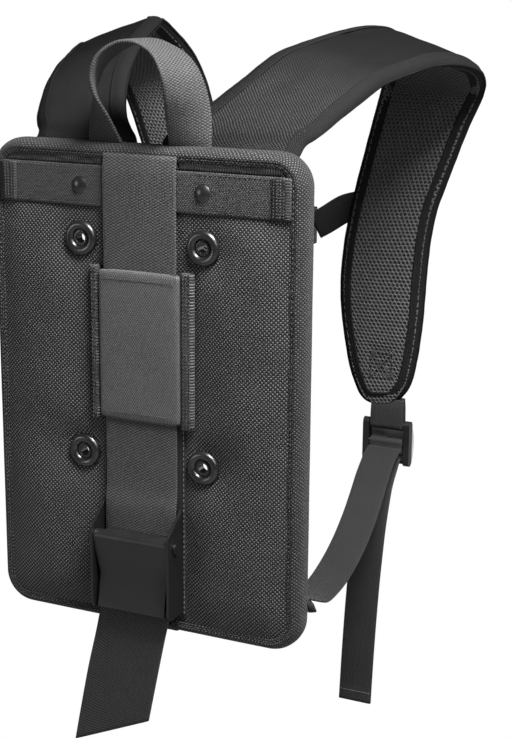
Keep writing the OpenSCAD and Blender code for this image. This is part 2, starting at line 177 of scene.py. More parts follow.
def woven(name, dark, light, cell, depth, cover=(-0.25, 0.85), rough=0.62, streaks=0.25, sheen=0.05,
          mottle=0.15, specular=0.35, painted_sheen_fade=None):
    """Plain weave: yarns cross in cells of the given width and length, in millimetres. Its light crowns
    are painted highlight and its dark gaps painted shade. Between the two lengths of fade, the weave goes
    from a painted sheen highlight to painted shade."""
    f = Finish(name, Specular_IOR_Level=specular, Sheen_Weight=sheen, Sheen_Roughness=0.4)
    u, v = f.cloth()
    drift = f.noise(f.join(u, v), 0.05, 1.0)
    u2 = f.plus(u, f.times(drift, cell[0] * 1.5))
    v2 = f.plus(v, f.times(drift, cell[1] * 1.5))
    wave = f.times(f.math("SINE", f.times(u2, math.pi / cell[0])),
                  f.math("SINE", f.times(v2, math.pi / cell[1])))
    # the weave pattern is real; its crowns are painted light as painted highlights and the gaps between
    # yarns dark as painted shade
    crown = f.span(wave, *cover)
    yarn = f.noise(f.join(f.times(u, 0.9), f.times(v, 0.12)), 1.0, 3.0)
    blotch = f.noise(f.join(u, v), 0.035, 2.0)
    tone = f.times(crown, f.span(yarn, 0.3, 0.7, 1 - streaks, 1 + streaks))
    tone = f.times(tone, f.span(blotch, 0.3, 0.7, 0.86, 1.1))
    fleck = f.noise(f.join(u, v), 0.55, 2.0)
    tone = f.times(tone, f.span(fleck, 0.32, 0.68, 1 - mottle, 1 + mottle))
    # painted sheen highlight: the weave stays bright before the first length along the cloth and fades
    # into painted shade by the second
    if painted_sheen_fade:
        tone = f.times(tone, f.span(v, *painted_sheen_fade, 1.0, 0.12))
    f.colour(f.mix(tone, grey(dark), grey(light)))
    f.rough(f.span(crown, 0.0, 1.0, min(1.0, rough + 0.15), rough))
    relief = f.plus(f.math("POWER", f.math("ABSOLUTE", wave), 0.5),
                    f.times(yarn, 0.35))
    f.bump(relief, depth)
    return f.material


def honeycomb(u, v, pitch, cosine, add, multiply):
    """1 in the holes of a six-sided mesh and about -0.5 on its strands."""
    k = 4 * math.pi / (math.sqrt(3) * pitch)
    waves = [cosine(add(multiply(u, k * math.cos(a)), multiply(v, k * math.sin(a))))
             for a in (math.pi / 2, math.pi * 7 / 6, math.pi * 11 / 6)]
    return multiply(add(add(waves[0], waves[1]), waves[2]), 1 / 3)


MESH_PITCH = 3.1


def spacer(name, strand, hole, depth):
    """Knitted spacer mesh: pale strands round six-sided holes painted dark as painted shade of their
    depth.
    """
    f = Finish(name, Specular_IOR_Level=0.5, Sheen_Weight=0.05, Sheen_Roughness=0.3)
    u, v = f.cloth()
    open_ = honeycomb(u, v, MESH_PITCH, lambda a: f.math("COSINE", a), f.plus, f.times)
    net = f.span(open_, -0.35, 0.45, 1.0, 0.0)
    fibre = f.noise(f.join(u, v), 1.4, 3.0)
    glint = f.span(fibre, 0.42, 0.75, 0.55, 1.5)
    # the holes' near black is painted shade of their depth
    f.colour(f.mix(f.times(net, glint), grey(hole), grey(strand)))
    f.rough(f.span(fibre, 0.3, 0.7, 0.45, 0.75))
    f.bump(f.plus(net, f.times(fibre, 0.5)), depth)
    return f.material


def foamed(name, level):
    """Open-cell foam: small dark pores."""
    f = Finish(name, Specular_IOR_Level=0.1)
    cells = f.node("ShaderNodeTexVoronoi")
    f.feed(cells.inputs["Vector"], f.place())
    cells.inputs["Scale"].default_value = 1400
    pore = f.span(cells.outputs["Distance"], 0.1, 0.6)
    f.colour(f.mix(pore, grey(level * 0.4), grey(level)))
    f.rough(f.span(pore, 0.0, 1.0, 1.0, 0.85))
    f.bump(pore, 0.3)
    return f.material


def moulded(name, level, rough, grain=0.03, specular=0.5, worn=0.0, metallic=0.0):
    """Moulded plastic or coated metal: fine grain, uneven gloss and rubbed patches."""
    f = Finish(name, Specular_IOR_Level=specular, Metallic=metallic)
    fine = f.noise(f.place(), 2600, 3.0)
    broad = f.noise(f.place(), 60, 3.0)
    scuff = f.times(f.span(f.noise(f.place(), 240, 4.0), 0.62, 0.74), worn)
    base = f.mix(f.span(broad, 0.3, 0.7), grey(level * 0.9), grey(level * 1.1))
    f.colour(f.mix(scuff, base, grey(level * 2.5 + 0.02)))
    f.rough(f.plus(f.span(fine, 0.3, 0.7, rough - 0.03, rough + 0.05),
                   f.span(broad, 0.3, 0.7, -0.02, 0.02)))
    f.bump(fine, grain)
    return f.material


def thread_like(name, level):
    """Twisted sewing thread with a dull shine."""
    f = Finish(name, Specular_IOR_Level=0.5)
    u, v = f.cloth()
    ply = f.math("SINE", f.times(f.plus(u, v), 9.0))
    f.colour(f.mix(f.span(ply, -1.0, 1.0), grey(level * 0.55), grey(level)))
    f.rough(f.span(ply, -1.0, 1.0, 0.6, 0.4))
    f.bump(ply, 0.05)
    return f.material


COVER = woven("cover_cloth", 0.004, 0.135, (1.3, 1.3), 0.30, cover=(0.0, 0.9), rough=0.55, streaks=0.12,
              mottle=0.06)
# the shell's weave is a painted sheen highlight near the pad and painted shade from 135 mm along the strap
# on, over the crest
SHELL = woven("shell_cloth", 0.002, 0.042, (0.95, 0.95), 0.15, cover=(0.0, 0.95), rough=0.55, streaks=0.12,
              sheen=0.0, mottle=0.1, specular=0.12, painted_sheen_fade=(50, 135))
STRAP = woven("strap_webbing", 0.014, 0.085, (1.7, 0.9), 0.22, cover=(-0.5, 0.8), mottle=0.25)
# the strap's own webbing made darker for its tail, as painted shade at the less lit bottom
SHADED_STRAP = woven("strap_webbing_painted_shade", 0.008, 0.046, (1.7, 0.9), 0.2, cover=(-0.4, 0.8), mottle=0.25)
BAND = woven("band_webbing", 0.012, 0.075, (1.1, 0.9), 0.2, cover=(-0.4, 0.8), streaks=0.45, mottle=0.35)
NARROW = woven("narrow_webbing", 0.004, 0.019, (1.3, 0.8), 0.16, cover=(-0.5, 0.8), mottle=0.2)
SLEEVE = woven("sleeve_cloth", 0.036, 0.135, (0.8, 1.2), 0.12, rough=0.56, streaks=0.35, mottle=0.3)
BORDER = woven("border_cloth", 0.006, 0.13, (1.5, 0.9), 0.3, streaks=0.5, mottle=0.6)
BINDING = woven("binding_tape", 0.003, 0.085, (1.5, 1.15), 0.35, cover=(0.0, 0.9), streaks=0.3, mottle=0.5)
EDGING = woven("strap_edging", 0.003, 0.014, (0.9, 0.7), 0.16, cover=(-0.3, 0.9), mottle=0.2, rough=0.6,
               sheen=0.0, specular=0.12)
SPACER = spacer("spacer_mesh", 0.075, 0.002, 0.5)
RIBBED = woven("ribbed_strip", 0.004, 0.05, (0.8, 6.0), 0.2)
FOAM = foamed("foam", 0.05)
THREAD = thread_like("thread", 0.055)
PALE_THREAD = thread_like("pale_thread", 0.2)
GLOSS = moulded("eyelet_enamel", 0.008, 0.28, 0.01, 0.7, worn=0.05)
SATIN = moulded("buckle_coating", 0.007, 0.34, 0.04, 0.45, worn=0.2)
LEVER = moulded("lever_coating", 0.008, 0.38, 0.05, 0.45, worn=0.2)
STEEL = moulded("spring_steel", 0.35, 0.3, 0.01, 0.5, metallic=1.0)
PLASTIC = moulded("black_plastic", 0.008, 0.34, 0.04, 0.5, worn=0.15)
# light grey standing in for the highlight that the lock's glossy black convex face catches: a painted
# highlight
HIGHLIGHT_GREY = moulded("grey_plastic", 0.45, 0.42, 0.03, 0.5)
BOARD = moulded("plate_plastic", 0.015, 0.5, 0.05, 0.4)


# ---- mesh helpers ----
def unit(v):
    return v / np.maximum(np.linalg.norm(v, axis=-1, keepdims=True), 1e-9)


def run_along(points):
    """Distance run at each point of a line."""
    return np.concatenate([[0], np.cumsum(np.linalg.norm(np.diff(points, axis=0), axis=1))])


def run_round(points):
    """Distance run at each point of a closed line, and back at the first."""
    return run_along(np.vstack([points, points[:1]]))


def spline(points, step):
    """Points every step millimetres along a smooth curve. The first three columns are
    its place and the others ride along. Also gives the distance run at each point."""
    p = np.asarray(points, float)
    q = np.vstack([2 * p[0] - p[1], p, 2 * p[-1] - p[-2]])
    t = np.linspace(0, 1, 16, endpoint=False)[:, None]
    fine = [0.5 * (2 * b + (c - a) * t + (2 * a - 5 * b + 4 * c - d) * t ** 2
                   + (3 * b - a - 3 * c + d) * t ** 3)
            for a, b, c, d in zip(q, q[1:], q[2:], q[3:])]
    fine = np.vstack(fine + [p[-1:]])
    run = run_along(fine[:, :3])
    at = np.linspace(0, run[-1], max(3, round(run[-1] / step) + 1))
    return np.column_stack([np.interp(at, run, fine[:, k]) for k in range(p.shape[1])]), at


def ladder(a, b, step):
    """Two edges of a ribbon, its outward normal and the distance run, at even stations."""
    a, b = np.asarray(a, float), np.asarray(b, float)
    rows, run = spline(np.hstack([(a + b) / 2, a, b]), step)
    left, right = rows[:, 3:6], rows[:, 6:9]
    normal = unit(np.cross(right - left, np.gradient(rows[:, :3], axis=0)))
    return left, right, normal, run


def mesh_object(name, points, faces, corner_uv, material):
    """A smooth closed mesh, from points in millimetres, with a UV for each face corner."""
    mesh = bpy.data.meshes.new(name)
    mesh.from_pydata((np.asarray(points) * MM).tolist(), [], [list(f) for f in faces])
    layer = mesh.uv_layers.new(name="cloth_mm")
    layer.data.foreach_set("uv", np.asarray(corner_uv, np.float32).ravel())
    made = bmesh.new()
    made.from_mesh(mesh)
    bmesh.ops.recalc_face_normals(made, faces=made.faces)
    made.to_mesh(mesh)
    made.free()
    mesh.shade_smooth()
    mesh.materials.append(material)
    piece = bpy.data.objects.new(name, mesh)
    link(piece)
    return piece


def loft(name, rings, across, along, material, closed=False, side=1):
    """Skin over rings of points. across has one more value than a ring has points, and
    along has one more than there are rings where the row of rings is closed."""
    rings = np.asarray(rings, float) * [side, 1, 1]
    n, m = rings.shape[:2]
    faces, uv = [], []
    for i in range(n if closed else n - 1):
        for j in range(m):
            k = (j + 1) % m
            i2 = (i + 1) % n
            faces.append((i * m + j, i * m + k, i2 * m + k, i2 * m + j))
            uv += [(across[j], along[i]), (across[j + 1], along[i]),
                   (across[j + 1], along[i + 1]), (across[j], along[i + 1])]
    if not closed:
        for i in (0, n - 1):
            faces.append(tuple(i * m + j for j in range(m)))
            uv += [(across[j], along[i]) for j in range(m)]
    return mesh_object(name, rings.reshape(-1, 3), faces, uv, material)


def grid_quads(rows, columns):
    at = np.arange(rows * columns).reshape(rows, columns)
    return np.stack([at[:-1, :-1], at[:-1, 1:], at[1:, 1:], at[1:, :-1]], -1).reshape(-1, 4)


def rim_edges(quads):
    """Edges that only one quad has, in that quad's direction."""
    edges = np.vstack([quads[:, [i, (i + 1) % 4]] for i in range(4)])
    _, first, count = np.unique(np.sort(edges, 1), axis=0, return_index=True, return_counts=True)
    return edges[first[count == 1]]


def slab(name, front, back, quads, uv, material, side=1):
    """Closed sheet between two surfaces that share their quads."""
    n = len(front)
    points = np.vstack([front, back]) * [side, 1, 1]
    rim = rim_edges(quads)
    walls = np.column_stack([rim[:, 1], rim[:, 0], rim[:, 0] + n, rim[:, 1] + n])
    faces = np.vstack([quads, quads[:, ::-1] + n, walls])
    used, index = np.unique(faces, return_inverse=True)
    both = np.vstack([uv, uv])
    return mesh_object(name, points[used], index.reshape(faces.shape), both[faces].reshape(-1, 2),
                       material)


def smoother(piece):
    """Applies one level of subdivision surface."""
    assign(piece.modifiers.new("smoother", "SUBSURF"), levels=1, render_levels=1)
    view = bpy.context.evaluated_depsgraph_get()
    mesh = bpy.data.meshes.new_from_object(piece.evaluated_get(view))
    piece.modifiers.clear()
    old, piece.data = piece.data, mesh
    bpy.data.meshes.remove(old)
    mesh.shade_smooth()
    return piece


def tape_ring(width, thick, crown=0.0):
    """Profile of webbing with round edges, as (across, height) round its section."""
    half = width / 2 - thick / 2
    top = np.column_stack([np.linspace(-half, half, 9), np.full(9, thick / 2)])
    top[:, 1] += crown * (1 - (top[:, 0] / half) ** 2)
    turn = np.radians([60, 30, 0, -30, -60])
    edge = np.column_stack([half + thick / 2 * np.cos(turn), thick / 2 * np.sin(turn)])
    ring = np.vstack([top, edge])
    return np.vstack([ring, ring * [-1, -1] + [0, 0]])


def webbing(name, ribbon, thick, material, side=1, lift=0.0, crown=0.0, swell=np.ones_like):
    """Webbing over a ladder. lift is how far its middle stands along the normal, and swell gives
    the share of its thickness by distance run."""
    left, right, normal, run = ribbon
    width = np.linalg.norm(right - left, axis=1)
    across = unit(right - left)
    middle = (left + right) / 2
    profile = tape_ring(2.0, 0.1)[:, 0]
    rings = []
    for place, aside, up, wide, share in zip(middle, across, normal, width, swell(run)):
        ring = tape_ring(wide, thick * share, crown)
        rings.append(place + ring[:, :1] * aside + (ring[:, 1:] + lift) * up)
    u = np.append(profile, profile[0]) * width.mean() / 2
    return loft(name, rings, u, run, material, side=side)


def stitches(name, path, normal, material, slot="webbing", pitch=3.2, length=2.3, radius=0.3,
             side=1):
    """A row of lock stitches along a path, each a short thread that dips in at both ends."""
    rows, run = spline(np.hstack([path, normal]), pitch)
    place, up = rows[:, :3], unit(rows[:, 3:6])
    ahead = unit(np.gradient(place, axis=0))
    aside = np.cross(ahead, up)
    share = np.linspace(0, 1, 5)
    turn = np.linspace(0, 2 * math.pi, 6, endpoint=False)
    points, faces, uv = [], [], []
    for i in range(len(place)):
        base = len(points)
        for s in share:
            bow = math.sin(math.pi * s)
            middle = (place[i] + ahead[i] * (s - 0.5) * length
                      + up[i] * radius * (1.1 * bow - 0.5))
            r = radius * (0.5 + 0.5 * bow)
            points += [middle + r * (math.cos(a) * up[i] + math.sin(a) * aside[i]) for a in turn]
        for j in range(4):
            for k in range(6):
                k2 = (k + 1) % 6
                faces.append((base + j * 6 + k, base + j * 6 + k2,
                              base + (j + 1) * 6 + k2, base + (j + 1) * 6 + k))
                uv += [(k, j), (k + 1, j), (k + 1, j + 1), (k, j + 1)]
    points = np.array(points) * [side, 1, 1]
    return mesh_object(name, points, faces, uv, material)


def front_stitches(name, places, material=None, slot="webbing", **look):
    """A row of stitches that face the front."""
    path = np.array(places, float)
    forward = np.tile([0.0, -1.0, 0.0], (len(path), 1))
    return stitches(name, path, forward, material or THREAD, slot, **look)


def wander(x, y, seed=0.0):
    """A slow, even wobble between about -1 and 1."""
    return (np.sin(x * 0.071 + y * 0.043 + seed) + np.sin(x * 0.023 - y * 0.087 + 2.1 * seed)
            + np.sin(x * 0.131 + y * 0.019 + 4.2 + seed)) / 3


def joined(name, parts):
    """Several pieces made into one object."""
    first, rest = parts[0], parts[1:]
    made = bmesh.new()
    for part in parts:
        made.from_mesh(part.data)
    made.to_mesh(first.data)
    made.free()
    for part in rest:
        bpy.data.objects.remove(part)
    first.name = first.data.name = name
    return first


def corners(node):
    low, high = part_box(node)
    return np.array(low) / MM, np.array(high) / MM


# ---- the pad's outline ----
pad_low, pad_high = corners("edge_binding")
PAD_HALF = (pad_high[0] - pad_low[0]) / 2
PAD_TOP, PAD_BOTTOM = pad_high[2], pad_low[2]
PAD_MIDDLE = (PAD_TOP + PAD_BOTTOM) / 2
PAD_TALL = (PAD_TOP - PAD_BOTTOM) / 2
PAD_R = 21.0
BACK_Y = 14.0                     # the rear panel's outer face
FRONT_Y = -4.0                    # where webbing lies on the front cover
eyelet_high = corners("eyelet_rings")[1]
EYELET_R = 11.0
EYELETS = [(sx * (eyelet_high[0] - EYELET_R), sz * (eyelet_high[2] - EYELET_R))
           for sx in (-1, 1) for sz in (-1, 1)]


def outline(step):
    """Points and outward directions round the pad, in X and Z, from the top's middle."""
    points, out = [], []
    w, h = PAD_HALF - PAD_R, PAD_TALL - PAD_R
    corners_at = [(w, h, 90), (w, -h, 0), (-w, -h, -90), (-w, h, -180)]
    steps = max(6, round(PAD_R * math.pi / 2 / step))
    previous = (0.0, PAD_TALL)
    for x, z, start in corners_at:
        angles = [math.radians(start - 90 * i / steps) for i in range(steps + 1)]
        arc = [(x + PAD_R * math.cos(a), z + PAD_R * math.sin(a)) for a in angles]
        gap = math.dist(previous, arc[0])
        count = max(1, round(gap / step))
        for i in range(0 if not points else 1, count):
            t = i / count
            points.append((previous[0] + (arc[0][0] - previous[0]) * t,
                           previous[1] + (arc[0][1] - previous[1]) * t))
            out.append((math.cos(angles[0]), math.sin(angles[0])))
        points += arc
        out += [(math.cos(a), math.sin(a)) for a in angles]
        previous = arc[-1]
    count = round(-previous[0] / step)
    for i in range(1, count):
        points.append((previous[0] * (1 - i / count), PAD_TALL))
        out.append((0.0, 1.0))
    points, out = np.array(points), np.array(out)
    return points + [0, PAD_MIDDLE], out, run_round(points)


def half_width(z, inset):
    """Half the pad's width at height z, pulled in by inset."""
    r = PAD_R - inset
    over = np.clip(np.abs(z - PAD_MIDDLE) - (PAD_TALL - inset - r), 0, r)
    return PAD_HALF - inset - r + np.sqrt(r * r - over * over)


def pad_grid(step, inset):
    """Even rows and columns of points (x, z) that fill the pad's outline."""
    rows = round(2 * (PAD_TALL - inset) / step) + 1
    columns = round(2 * (PAD_HALF - inset) / step) + 1
    z = np.linspace(PAD_BOTTOM + inset, PAD_TOP - inset, rows)
    s = np.linspace(-1, 1, columns)
    x = s[None, :] * half_width(z, inset)[:, None]
    return np.column_stack([x.ravel(), np.repeat(z, columns)]), grid_quads(rows, columns)


def rim_distance(xz):
    """How far points lie inside the pad's outline."""
    q = np.abs(xz - [0, PAD_MIDDLE]) - [PAD_HALF - PAD_R, PAD_TALL - PAD_R]
    outside = np.linalg.norm(np.maximum(q, 0), axis=1)
    return PAD_R - outside - np.minimum(q.max(1), 0)


def eyelet_distance(xz):
    return np.min([np.hypot(xz[:, 0] - x, xz[:, 1] - z) for x, z in EYELETS], axis=0)


def punched(xz, quads, radius):
    """Quads without those over the eyelet holes, and the points moved to the holes' rims."""
    inside = eyelet_distance(xz) < radius
    kept = quads[~inside[quads].any(1)]
    rim = np.unique(rim_edges(kept))
    rim = rim[eyelet_distance(xz[rim]) < radius + 5]
    moved = xz.copy()
    for x, z in EYELETS:
        near = rim[np.hypot(xz[rim, 0] - x, xz[rim, 1] - z) < radius + 5]
        ray = xz[near] - [x, z]
        moved[near] = [x, z] + ray / np.linalg.norm(ray, axis=1)[:, None] * radius
    return moved, kept


def with_depth(xz, y):
    """Points (x, y, z) from (x, z); y is one depth or one for each point."""
    return np.column_stack([xz[:, 0], np.broadcast_to(y, len(xz)), xz[:, 1]])


# ---- front cover ----
anchor_low, anchor_high = corners("anchor_web")
sleeve_low, sleeve_high = corners("strap_sleeve")
band_low, band_high = corners("top_band")
strap_high = corners("cylinder_strap")[1]


def held_down(xz):
    """Where stitching, webbing or an eyelet holds the cover down."""
    x, z = xz[:, 0], xz[:, 1]
    return ((rim_distance(xz) < 7.5) | (eyelet_distance(xz) < EYELET_R + 1.0)
            | (z > band_low[2]) | (np.abs(x) < strap_high[0] + 1)
            | ((np.abs(x) < sleeve_high[0]) & (z > sleeve_low[2]) & (z < sleeve_high[2]))
            | ((x < anchor_high[0]) & (x > anchor_low[0]) & (z < anchor_high[2])))


def inflated(xz, quads, pressure, cap):
    """How far pressure lifts the cloth where nothing holds it down, by cloth simulation."""
    mesh = bpy.data.meshes.new("blank")
    mesh.from_pydata((with_depth(xz, 0.0) * MM).tolist(), [], quads.tolist())
    cloth = bpy.data.objects.new("blank", mesh)
    link(cloth)
    pins = cloth.vertex_groups.new(name="pins")
    pins.add(np.flatnonzero(held_down(xz)).tolist(), 1.0, "REPLACE")
    modifier = cloth.modifiers.new("cloth", "CLOTH")
    assign(modifier.settings, quality=6, mass=0.15, tension_stiffness=12, compression_stiffness=12,
           shear_stiffness=6, bending_stiffness=0.4, use_pressure=True,
           uniform_pressure_force=pressure, vertex_group_mass="pins", shrink_min=-0.03)
    modifier.settings.effector_weights.gravity = 0
    modifier.collision_settings.use_collision = False
    scene = bpy.context.scene
    for step in range(1, 21):
        scene.frame_set(step)
    view = bpy.context.evaluated_depsgraph_get()
    done = cloth.evaluated_get(view).to_mesh()
    lift = -np.array([v.co.y for v in done.vertices]) / MM
    bpy.data.objects.remove(cloth)
    scene.frame_set(1)
    print("cover lift, mm:", lift.min().round(2), lift.max().round(2))
    return cap * np.tanh(np.abs(lift) / cap)


PUFF = 8.0                         # the most that the cover can stand out
COVER_HOLE, FOAM_HOLE, PANEL_HOLE = 5.2, 10.0, 11.0      # radii round each eyelet
PANEL_Y = 11.15                    # the rear panel's inner face
cover_xz, cover_quads = pad_grid(3.0, 3.5)
free = ~held_down(cover_xz)
x, z = cover_xz.T
room = np.min([rim_distance(cover_xz) - 6, eyelet_distance(cover_xz) - EYELET_R - 0.5,
               np.maximum(np.abs(x) - np.where((z > sleeve_low[2]) & (z < sleeve_high[2]), 37, 29), 0),
               np.maximum(band_low[2] - z, 0)], axis=0)
pillow = 0.8 * PUFF * (1 - np.exp(-np.maximum(room, 0) / 12)) * free
lift = 0.65 * pillow + 0.35 * inflated(cover_xz, cover_quads, 12.0, PUFF)
columns = int(cover_quads[0, 3] - cover_quads[0, 0])
for _ in range(14):                # evens out the simulation's crumples
    sheet = np.pad(lift.reshape(-1, columns), 1, "edge")
    near = (sheet[:-2, 1:-1] + sheet[2:, 1:-1] + sheet[1:-1, :-2] + sheet[1:-1, 2:]) / 4
    lift = np.where(free, near.ravel(), lift)
lift = lift + free * 0.2 * wander(cover_xz[:, 0] * 2, cover_xz[:, 1] * 1.5)
cover_at, cover_kept = punched(cover_xz, cover_quads, COVER_HOLE)
pad_cover = smoother(slab(
    "pad_cover", with_depth(cover_at, FRONT_Y - lift), with_depth(cover_at, -0.15),
    cover_kept, cover_xz, COVER))
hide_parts("front_cover")
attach(pad_cover, "pad")


# ---- foam core and rear panel ----
foam_low, foam_high = corners("foam_core")
foam_xz, foam_quads = pad_grid(3.0, 2.5)
foam_at, foam_kept = punched(foam_xz, foam_quads, FOAM_HOLE)
foam_skin = 0.12 * wander(foam_at[:, 0] * 9, foam_at[:, 1] * 9)
foam_sheet = slab("foam_sheet", with_depth(foam_at, foam_low[1] + 0.15 + foam_skin),
                  with_depth(foam_at, foam_high[1] - 0.15 + foam_skin), foam_kept, foam_xz, FOAM)
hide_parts("foam_core")
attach(foam_sheet, "pad")

rear_xz, rear_quads = pad_grid(1.2, 4.0)
rear_at, rear_kept = punched(rear_xz, rear_quads, PANEL_HOLE)
dip = np.minimum(rim_distance(rear_at) - 7, (eyelet_distance(rear_at) - PANEL_HOLE) * 1.2)
swell = 2.6 * (1 - np.exp(-np.maximum(dip, 0) / 14)) + 0.3 * wander(rear_at[:, 0], rear_at[:, 1])
holes = honeycomb(rear_xz[:, 0], rear_xz[:, 1], MESH_PITCH, np.cos, np.add, np.multiply)
rear_face = BACK_Y + swell * (dip > 0) - 0.25 * np.clip(holes, 0, 1)
rear_panel = slab("rear_panel", with_depth(rear_at, rear_face),
                  with_depth(rear_at, PANEL_Y), rear_kept, rear_xz, SPACER)
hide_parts("rear_mesh_panel")
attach(rear_panel, "pad")


# ---- binding round the pad ----
LIP = [(9.2, -4.1), (9.0, -4.9), (8.2, -5.25), (7.2, -5.0), (6.7, -5.1), (6.0, -5.6), (5.0, -5.6),
       (3.8, -4.9), (2.7, -3.7), (1.6, -1.9), (0.8, 0.3), (0.35, 2.6)]
pad_points, pad_out, pad_run = outline(2.5)
middle_y = (FRONT_Y + BACK_Y) / 2
section = LIP + [(d, 2 * middle_y - y) for d, y in reversed(LIP)]
section += [(7.5, 13.9), (5.2, 13.4), (3.2, 11.0), (1.8, 5.0), (3.2, -1.0), (5.2, -3.4), (7.5, -3.9)]
section = np.array(section)
way_round = pad_run[:-1]
ripple = (0.16 * np.sin(way_round * 0.9) * np.sin(way_round * 0.23 + 1)
          + 0.12 * np.sin(way_round * 0.11))
rings = []
for (px, pz), (ox, oz), shake in zip(pad_points, pad_out, ripple):
    grow = 1 + shake * 0.12
    d = section[:, 0] + shake * 0.6
    y = middle_y + (section[:, 1] - middle_y) * grow
    rings.append(np.column_stack([px - ox * d, y, pz - oz * d]))
edge_roll = smoother(loft("edge_roll", rings, run_round(section), pad_run, BINDING,
                          closed=True))
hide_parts("edge_binding")
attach(edge_roll, "pad")

seam = pad_points - pad_out * 7.2
seam_loop = np.vstack([seam, seam[:1]])
face_front = np.tile([0.0, -1.0, 0.0], (len(seam_loop), 1))
edge_seams = joined("edge_seams", [
    stitches("seam_front", with_depth(seam_loop, -5.2), face_front, THREAD, "binding_tape"),
    stitches("seam_rear", with_depth(seam_loop, 15.2), -face_front, THREAD, "binding_tape")])
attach(edge_seams, "pad")


# ---- band, mesh strip and snaps on the pad's top ----
def flat_web(name, x, z, y, thick, material, along_x=False, crown=0.0, step=4.0, wave=0.0):
    """Straight webbing in front of the pad; y is the depth of its middle."""
    if along_x:
        a, b = [(x[0], y, z[1]), (x[1], y, z[1])], [(x[0], y, z[0]), (x[1], y, z[0])]
    else:
        a, b = [(x[0], y, z[0]), (x[0], y, z[1])], [(x[1], y, z[0]), (x[1], y, z[1])]
    left, right, normal, run = ladder(a, b, step)
    shift = wave * np.sin(run * 0.09)[:, None] * [0, 1, 0]
    ribbon = (left + shift, right + shift, normal, run)
    return webbing(name, ribbon, thick, material, crown=crown)


BAND_T = 1.5
band_y = FRONT_Y - BAND_T / 2
top_band = flat_web("top_band_webbing", (-99, 99), (band_low[2], band_high[2]), band_y - 0.05, BAND_T,
                    BAND, along_x=True, crown=0.15, wave=0.08)
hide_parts("top_band")
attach(top_band, "pad")

patches = []
for name, s in SIDES:
    patches.append(flat_web("band_patch_" + name, sorted((s * 87, s * 98.6)),
                            (band_low[2] + 0.6, band_high[2] - 0.6), band_y - 1.2, 1.0, RIBBED,
                            along_x=True, crown=0.1))
band_ends = joined("band_ends", patches)
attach(band_ends, "pad")

bars = []
for _, s in SIDES:
    for x in (88.2, 90.4, 92.6, 94.8):
        heights = np.linspace(band_low[2] + 2, band_high[2] - 2, 8)
        bars.append(front_stitches("bar", [(s * x, band_y - 1.75, z) for z in heights], pitch=1.9,
                                   length=1.7, radius=0.28))
    for z in (band_low[2] + 1.6, band_high[2] - 1.6):
        bars.append(front_stitches("bar", [(s * x, band_y - 0.85, z) for x in np.linspace(28, 86, 12)],
                                   radius=0.22))
band_seams = joined("band_seams", bars)
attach(band_seams, "pad")

strips = []
for _, s in SIDES:
    x = np.arange(26.5, 93.0, 0.4)
    z = np.linspace(113.4, 119.5, 6)
    ridge = 0.45 * np.abs(np.sin(x * math.pi / 1.7))
    points = np.array([(s * a, FRONT_Y - 0.25 - r, b) for a, r in zip(x, ridge) for b in z])
    under = points.copy()
    under[:, 1] = FRONT_Y + 0.4
    strips.append(slab("strip", points, under, grid_quads(len(x), len(z)),
                       np.column_stack([points[:, 0], points[:, 2]]), RIBBED))
ridged_strip = joined("ridged_strip", strips)
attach(ridged_strip, "pad")


# ---- cylinder strap, sleeve and anchor webbing ----
STRAP_HALF = strap_high[0]
STRAP_T = 2.0
strap_line = [(-4.9, 121), (-5.8, 116.5), (-6.6, 111), (-6.7, 95), (-6.6, 60), (-6.6, 0), (-6.6, -60),
              (-6.8, -86), (-8.2, -96), (-8.5, -104), (-8.5, -130), (-8.6, -152)]
strap_line = [(0.0, y, z) for y, z in reversed(strap_line)]


def along_z(line, half, step=3.0):
    line = np.asarray(line, float)
    return ladder(line - [half, 0, 0], line + [half, 0, 0], step)


cylinder_webbing = webbing("cylinder_webbing", along_z(strap_line, STRAP_HALF), STRAP_T, STRAP,
                           crown=0.12)
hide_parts("cylinder_strap")
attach(cylinder_webbing, "pad")

anchor_line = [(1.5, -4.75, anchor_low[2]), (1.5, -4.7, anchor_high[2] + 8)]
anchor_ribbon = along_z(anchor_line, (anchor_high[0] - anchor_low[0]) / 2)
anchor = webbing("anchor_webbing", anchor_ribbon, 1.4, NARROW)
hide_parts("anchor_web")
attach(anchor, "pad")
seam_z = np.linspace(anchor_low[2] + 3, anchor_high[2] - 1, 30)
anchor_seam = front_stitches("anchor_seam", [(anchor_high[0] - 1.0, -5.5, z) for z in seam_z],
                             PALE_THREAD, pitch=3.4)
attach(anchor_seam, "pad")

profile_out = [(-28.6, -5.3), (-28.3, -7.2), (-27.7, -8.7), (-26.4, -9.4), (-23, -9.7), (-12, -9.85),
               (0, -9.9)]
profile_out += [(-x, y) for x, y in reversed(profile_out[:-1])]
profile_in = [(x * 0.95, y + 1.4) for x, y in reversed(profile_out)]
sleeve_ring = np.array(profile_out + profile_in)
sleeve_z = np.linspace(sleeve_low[2], sleeve_high[2], 33)
rings = []
for z in sleeve_z:
    hem = min(z - sleeve_low[2], sleeve_high[2] - z)
    rise = -0.5 if hem < 0.5 else 0.0
    sag = 0.25 * math.sin(z * 0.06)
    ring = [(x, y - (rise + sag if abs(x) < 27 and y < -8 else 0), z) for x, y in sleeve_ring]
    rings.append(ring)
sleeve_panel = smoother(loft("sleeve_panel", rings, run_round(sleeve_ring), sleeve_z - sleeve_z[0],
                             SLEEVE))
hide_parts("strap_sleeve")
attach(sleeve_panel, "pad")

